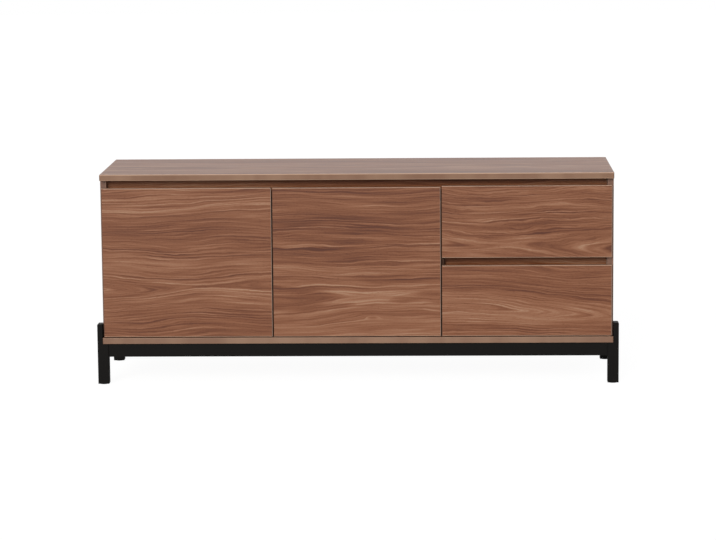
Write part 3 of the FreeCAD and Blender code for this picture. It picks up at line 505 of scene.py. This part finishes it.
def dress_boards():
    """Each foiled board with a figure of its own."""
    walnut_foil("left_door", FRONT, heart=(22, -70), depth=34, closing=-0.08, lean=0.03,
                slope=0.015, ring=0.75, tone=0.62, grain=1.12, seed=63.4)
    walnut_foil("middle_door", FRONT, heart=(50, -104), depth=50, closing=-0.03, lean=0.008,
                knot=(44, -162), grain=1.2, fade=0.13, calm=0.3, seed=86.5)
    walnut_foil("upper_drawer_front", FRONT, heart=(-60, -67), depth=50, closing=-0.07,
                slope=-0.03, ring=0.35, tone=0.6, grain=1.4, waves=1.5, fade=0.08, seed=75.2)
    walnut_foil("lower_drawer_front", FRONT, heart=(-180, -30), depth=4, closing=0.1, least=1,
                slope=-0.04, ring=0.5, tone=0.5, grain=1.05, fade=0.04, seed=93.1)
    walnut_foil("top_panel", FLAT, heart=(200, -40), depth=60, closing=-0.03, grain=1.7,
                gloss=0.35, seed=15.1)
    walnut_foil("bottom_panel", FLAT, heart=(-300, 30), depth=50, closing=0.03, arris=0.1,
                seed=18.6)
    walnut_foil("top_front_rail", FRONT, heart=(0, 200), depth=50, gloss=0.2, seed=21.4)
    walnut_foil("drawer_rail", FRONT, heart=(0, 150), depth=50, gloss=0.2, seed=24.8)
    walnut_foil("left_shelf", FLAT, heart=(0, 60), depth=50, closing=0.05, seed=27.3)
    walnut_foil("middle_shelf", FLAT, heart=(40, -30), depth=50, closing=-0.05, seed=30.9)
    # The side boards' front edges show at the ends of the recess, so their bands are painted shade
    # with little highlight
    walnut_foil("left_side_panel", UPRIGHT, heart=(0, 20), depth=50, closing=-0.08,
                band=SHADED_SIDE_BAND, arris=0.2, seed=34.5)
    walnut_foil("right_side_panel", UPRIGHT, heart=(60, -20), depth=40, closing=0.06,
                band=SHADED_SIDE_BAND, arris=0.2, seed=37.2)
    # The dividers' front edges stand deep in the gaps, so their bands are painted shade without a
    # highlight
    walnut_foil("left_divider", UPRIGHT, heart=(-40, 50), depth=50, closing=0.06,
                band=SHADED_BAND, arris=0.0, gloss=0.2, seed=41.6)
    walnut_foil("right_divider", UPRIGHT, heart=(30, -50), depth=50, closing=-0.06,
                band=SHADED_BAND, arris=0.0, gloss=0.2, seed=44.9)


def pick(kind, wanted):
    """In edit mode, selects only the faces or edges whose middle and normal pass a test."""
    bpy.ops.mesh.select_mode(type=kind)
    bpy.ops.mesh.select_all(action="DESELECT")
    piece = bpy.context.object
    mesh = bmesh.from_edit_mesh(piece.data)
    if kind == "FACE":
        for face in mesh.faces:
            face.select_set(wanted(face.calc_center_median() / MM, face.normal))
    else:
        for edge in mesh.edges:
            first, second = edge.verts
            if wanted((first.co + second.co) / 2 / MM, first.normal):
                edge.select_set(True)
    bmesh.update_edit_mesh(piece.data)


def draw_out(length, taper=1.0):
    """Draws the picked faces down by a length, and narrows their end towards the upright axis."""
    bpy.ops.mesh.extrude_region_move(TRANSFORM_OT_translate={"value": (0, 0, -length * MM)})
    bpy.ops.transform.resize(value=(taper, taper, 1), center_override=(0, 0, 0))


def model_fastener(head, height, rim, cross_width, cross_length, cross_depth,
                   shank=0.0, length=0.0):
    """Models one fastener, in millimetres, facing up, with the top of its head at the origin.

    The head and the shank are given by their radius. The head has an eased rim and a cross
    recess. A shank is drawn out of its underside and ends in a point, and the length is that of
    the whole fastener.
    """
    bpy.ops.object.select_all(action="DESELECT")
    bpy.ops.mesh.primitive_cylinder_add(
        vertices=ROUND_SIDES, radius=head * MM, depth=height * MM,
        location=(0, 0, -height / 2 * MM))
    bpy.ops.object.transform_apply(location=True, rotation=True, scale=True)
    bpy.ops.object.mode_set(mode="EDIT")
    pick("EDGE", lambda middle, normal: middle.z > -NEARLY)
    bpy.ops.mesh.bevel(offset=rim * MM, segments=RIM_STEPS, affect="EDGES")

    # The recess lies in a round field inside the rim, so its cuts stop there
    half_width = cross_width / 2
    half_length = cross_length / 2
    field = half_length + FIELD_REACH * (head - rim - half_length)
    pick("FACE", lambda middle, normal: middle.z > -NEARLY and normal.z > LEVEL)
    bpy.ops.mesh.inset(thickness=(head - rim - field) * MM)
    for distance in (-half_length, -half_width, half_width, half_length):
        for across in (Vector((1, 0, 0)), Vector((0, 1, 0))):
            pick("FACE", lambda middle, normal: middle.z > -NEARLY and middle.xy.length < field)
            bpy.ops.mesh.bisect(plane_co=across * distance * MM, plane_no=across)

    def in_cross(middle, normal):
        """Whether a face lies in one of the two arms of the cross."""
        narrow, wide = sorted((abs(middle.x), abs(middle.y)))
        return middle.z > -NEARLY and narrow < half_width and wide < half_length

    pick("FACE", in_cross)
    draw_out(cross_depth, CROSS_TAPER)
    if shank:
        point = POINT_LENGTH * shank
        pick("FACE", lambda middle, normal: middle.z < NEARLY - height and normal.z < -LEVEL)
        bpy.ops.mesh.inset(thickness=(head - shank) * MM)
        draw_out(length - height - point)
        draw_out(point, POINT_TAPER)
    bpy.ops.mesh.select_all(action="SELECT")
    bpy.ops.mesh.normals_make_consistent(inside=False)
    bpy.ops.object.mode_set(mode="OBJECT")
    bpy.ops.object.shade_smooth_by_angle(angle=math.radians(SMOOTH_UP_TO))
    return bpy.context.object


def set_out(model, name, facing, places, body, material, stands_for=None):
    """Copies a modelled fastener to places, in millimetres, and joins the copies to one piece."""
    copies = []
    for number, place in enumerate(places):
        bpy.ops.object.select_all(action="DESELECT")
        model.select_set(True)
        bpy.context.view_layer.objects.active = model
        bpy.ops.object.duplicate()
        copy = bpy.context.object
        copy.rotation_mode = "QUATERNION"
        turned = Quaternion((0, 0, 1), math.radians(SCREW_TURN * number))
        copy.rotation_quaternion = Vector(facing).to_track_quat("Z", "Y") @ turned
        copy.location = Vector(place) * MM
        copies.append(copy)
    for copy in copies:
        copy.select_set(True)
    bpy.ops.object.join()
    bpy.ops.object.transform_apply(location=True, rotation=True, scale=True)
    piece = bpy.context.object
    piece.name = name
    piece.data.materials.append(material)
    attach(piece, body)
    if stands_for:
        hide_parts(stands_for)


def fasteners(cast_zinc, plated):
    """Cam locks, screws of the backs and the base, and the screws of the hinges."""
    cam = model_fastener(head=7.4, height=12.5, rim=0.5, cross_width=2.0, cross_length=8.0,
                         cross_depth=2.0)
    spots = [(y, z) for y in CAM_Y for z in CAM_Z]
    set_out(cam, "left_cam_locks", (1, 0, 0), [(LEFT_CAM_X, y, z) for y, z in spots],
            "carcass", cast_zinc)
    set_out(cam, "cam_lock_set", (-1, 0, 0), [(x, y, z) for x in OTHER_CAM_X for y, z in spots],
            "carcass", cast_zinc, "cam_locks")

    back_screw = model_fastener(head=3.5, height=2, rim=0.9, cross_width=0.9, cross_length=3.6,
                                cross_depth=1.1, shank=1.5, length=16)
    set_out(back_screw, "back_screw_set", (0, 1, 0),
            [(x, BACK_SCREW_Y, z) for x in BACK_SCREW_X for z in BACK_SCREW_Z],
            "carcass", plated, "back_screws")

    base_screw = model_fastener(head=5, height=3, rim=0.8, cross_width=1.2, cross_length=5.4,
                                cross_depth=1.8, shank=2.5, length=39)
    set_out(base_screw, "base_screw_set", (0, 0, -1),
            [(x, y, BASE_SCREW_Z) for x in BASE_SCREW_X for y in BASE_SCREW_Y],
            "carcass", plated, "base_screws")

    # The plates are screwed to the carcass and the cups to the doors, two screws to each
    hinge_screw = model_fastener(head=3.3, height=HINGE_HEAD, rim=0.5, cross_width=0.9,
                                 cross_length=3.4, cross_depth=0.8)
    for side, way, plate_x in (("left", 1, LEFT_PLATE_X), ("middle", -1, MIDDLE_PLATE_X)):
        low, high = (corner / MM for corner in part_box(f"{side}_hinge_cups"))
        flange_x = (low.x + high.x) / 2 + FLANGE_INSET * way
        heights = (low.z + FLANGE_HEIGHT / 2, high.z - FLANGE_HEIGHT / 2)
        set_out(hinge_screw, f"{side}_plate_screws", (way, 0, 0),
                [(plate_x + HINGE_HEAD * way, PLATE_SCREW_Y, z + step)
                 for z in heights for step in (-PLATE_SCREW_STEP, PLATE_SCREW_STEP)],
                "carcass", plated)
        set_out(hinge_screw, f"{side}_cup_screws", (0, 1, 0),
                [(flange_x, high.y + HINGE_HEAD, z + step)
                 for z in heights for step in (-CUP_SCREW_STEP, CUP_SCREW_STEP)],
                f"{side}_door_leaf", plated)
    for model in (cam, back_screw, base_screw, hinge_screw):
        bpy.data.objects.remove(model)


def dress_the_rest():
    """The painted base, thin boards, fittings and fasteners."""
    base = [name for name in nodes if name.endswith("_leg") or name.endswith("base_rail")]
    dress(base, satin_black())

    # Hardboard pressed from fibres, with a printed face: matt, with faint fibres lying lengthwise
    dress(["left_back_panel", "right_back_panel", "lower_drawer_bottom", "upper_drawer_bottom"],
          plain("printed_hardboard", "#8A6148", "#6F4A35", 3.0, 0.6, stretch=(0.08, 1.0, 1.0)))

    # Embossed foil on particle board: dark and dull, with a fine grain from front to back
    boxes = [f"{drawer}_drawer_{side}" for drawer in ("lower", "upper")
             for side in ("left_side", "right_side", "back")]
    dress(boxes, plain("dark_drawer_foil", "#4A4642", "#3B3835", 1.2, 0.5,
                       stretch=(1.0, 0.1, 1.0)))

    # Turned beech left bare: pale, with short upright flecks
    dress(["base_dowels", "lower_drawer_dowels", "upper_drawer_dowels"],
          plain("bare_beech", "#D8B48A", "#BE9468", 1.5, 0.6, stretch=(1.0, 1.0, 0.2)))

    # Moulded black plastic, with the soft sheen of the mould
    dress(["foot_glides"], plain("moulded_polythene", "#1E1E1E", "#161616", 0.8, 0.55))

    # Rolled steel under bright zinc: cool and a little cloudy
    steel = [name for name in nodes if name.endswith("_runner")]
    dress(steel, plain("zinc_plated_steel", "#B4B6B8", "#A2A5A8", 6.0, 0.36, metallic=1.0))

    # Pressed steel under nickel: warmer and smoother than the zinc
    hinges = [name for name in nodes if "hinge" in name]
    dress(hinges, plain("nickel_plated_steel", "#C2BFB8", "#ACA9A2", 3.0, 0.26, metallic=1.0))

    # Zinc as it leaves the die is grey and grainy; the screws are brighter under their plating
    cast_zinc = plain("cast_zinc", "#9A9C9E", "#7E8082", 0.9, 0.45, metallic=1.0)
    plated = plain("zinc_plated_screws", "#B0B1B0", "#989A9A", 1.0, 0.34, metallic=1.0)
    dress(["cam_locks"], cast_zinc)
    dress(["cam_bolts", "shelf_pins", "back_screws", "base_screws"], plated)
    fasteners(cast_zinc, plated)


def floor_and_light():
    """A pale floor that fades to white, a white surround and soft light, mostly from the left."""
    bpy.ops.mesh.primitive_plane_add(size=FLOOR_WIDTH)
    floor = bpy.context.object
    floor.name = "studio_floor"
    material, output = new_material("pale_floor")
    seen = add(material, "LightPath").outputs["Is Camera Ray"]
    pale = add(material, "BsdfDiffuse", {"Color": linear("#E8E8E8")})
    faint = add(material, "BsdfDiffuse", {"Color": linear("#666666")})
    glow = add(material, "Emission", {"Color": linear("#FFFFFF"), "Strength": FLOOR_GLOW})
    shown = add(material, "AddShader", (faint, glow))
    shader = add(material, "MixShader", (seen, pale, shown))
    material.node_tree.links.new(shader.outputs[0], output.inputs["Surface"])
    floor.data.materials.append(material)

    # The camera, metal and glass see white all round, and the sideboard gets a softer light
    world = bpy.data.worlds.new("studio")
    bpy.context.scene.world = world
    world.use_nodes = True
    world.node_tree.nodes.clear()
    path = add(world, "LightPath")
    mirrored = add(world, "Math", (
        path.outputs["Is Glossy Ray"], path.outputs["Is Transmission Ray"]), operation="MAXIMUM")
    bright = add(world, "Math", (path.outputs["Is Camera Ray"], mirrored), operation="MAXIMUM")
    white = add(world, "Background", {"Color": linear("#FFFFFF"), "Strength": 1.0})
    soft = add(world, "Background", {"Color": linear("#F4F6F8"), "Strength": SURROUND_LIGHT})
    surround = add(world, "MixShader", (bright, soft, white))
    add(world, "OutputWorld", {"Surface": surround})

    for name, (left, up, width, strength) in SOFTBOXES.items():
        lamp = bpy.data.lights.new(name, "SUN")
        lamp.angle = math.radians(width)
        lamp.energy = strength
        holder = bpy.data.objects.new(name, lamp)
        bpy.context.scene.collection.objects.link(holder)
        holder.rotation_euler = (math.radians(90 - up), 0, math.radians(-left))


def camera():
    """The camera, set by three turns in the order yaw, pitch and roll."""
    data = bpy.data.cameras.new("camera")
    data.sensor_width = SENSOR_WIDTH
    data.lens = CAMERA_REACH / PICTURE_WIDTH * SENSOR_WIDTH
    data.clip_start = NEAREST
    data.clip_end = FARTHEST
    holder = bpy.data.objects.new("camera", data)
    bpy.context.scene.collection.objects.link(holder)
    level = Euler((math.radians(90 - CAMERA_PITCH), 0, math.radians(CAMERA_YAW))).to_matrix()
    roll = Euler((0, 0, math.radians(CAMERA_ROLL))).to_matrix()
    holder.matrix_world = (level @ roll).to_4x4()
    holder.location = CAMERA_PLACE
    bpy.context.scene.camera = holder


bpy.ops.object.select_all(action="DESELECT")
dress_boards()
dress_the_rest()
floor_and_light()
camera()
bpy.context.scene.view_settings.view_transform = "Standard"
